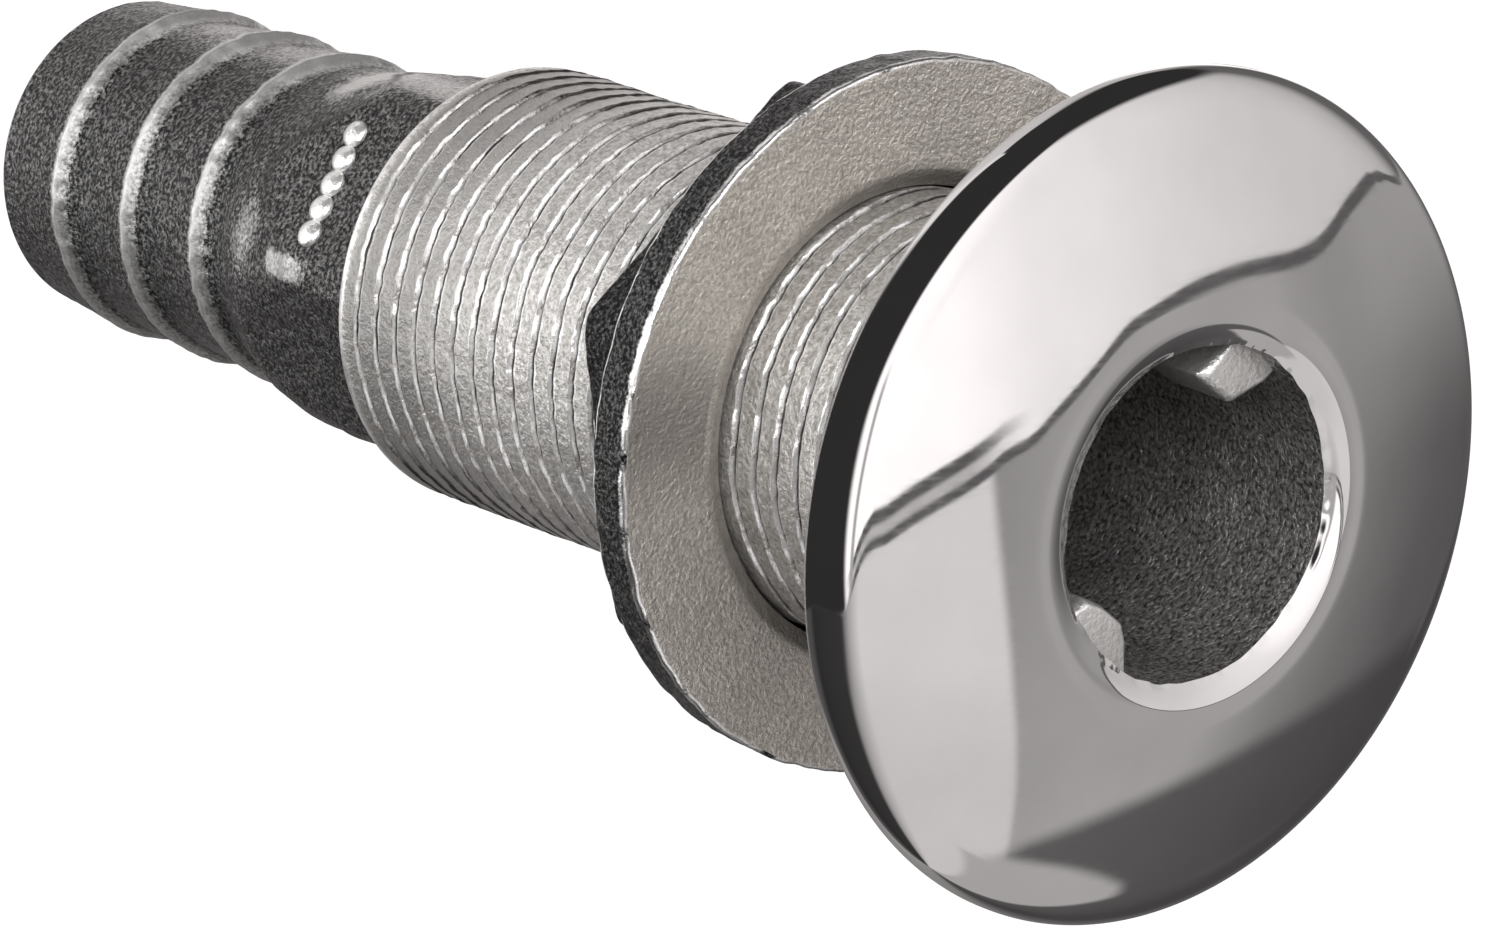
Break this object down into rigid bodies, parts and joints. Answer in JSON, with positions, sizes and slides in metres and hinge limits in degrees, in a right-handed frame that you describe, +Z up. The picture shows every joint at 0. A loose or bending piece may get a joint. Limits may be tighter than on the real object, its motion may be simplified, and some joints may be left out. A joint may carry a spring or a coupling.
{
  "type": "thru hull fitting",
  "caption": "Mushroom-head thru hull fitting with a threaded barrel, hose tail, round flange washer and hex backing nut that screws along to clamp the hull.",
  "frame": {"origin": "centre of the head's flat back, where it seals on the outside of the hull", "axes": "+Y along the bore towards the hose tail, so the domed head faces -Y; +Z up"},
  "size_m": [0.062, 0.1268, 0.062],
  "materials": {
    "fitting_steel": "mirror-polished head, satin cast barrel, dark granular cast tail",
    "washer_steel": "satin sand-cast face with a dark granular rim",
    "nut_steel": "dark granular cast"
  },
  "bodies": {
    "hull_fitting": {"hull_fitting": "fitting_steel"},
    "flange_washer": {"flange_washer": "washer_steel"},
    "hex_nut": {"hex_nut": "nut_steel"}
  },
  "joints": [
    {"name": "nut_travel", "type": "slide", "parent": "hull_fitting", "child": "flange_washer", "axis": [0, 1, 0], "range_m": [-0.022, 0.0324]},
    {"name": "nut_spin", "type": "hinge", "parent": "flange_washer", "child": "hex_nut", "pos_m": [0, 0.032, 0], "axis": [0, 1, 0], "range_deg": [-3420, 5040]}
  ],
  "couplings": [
    {"joint": "nut_travel", "follows": "nut_spin", "m_per_rad": 0.00036749}
  ]
}
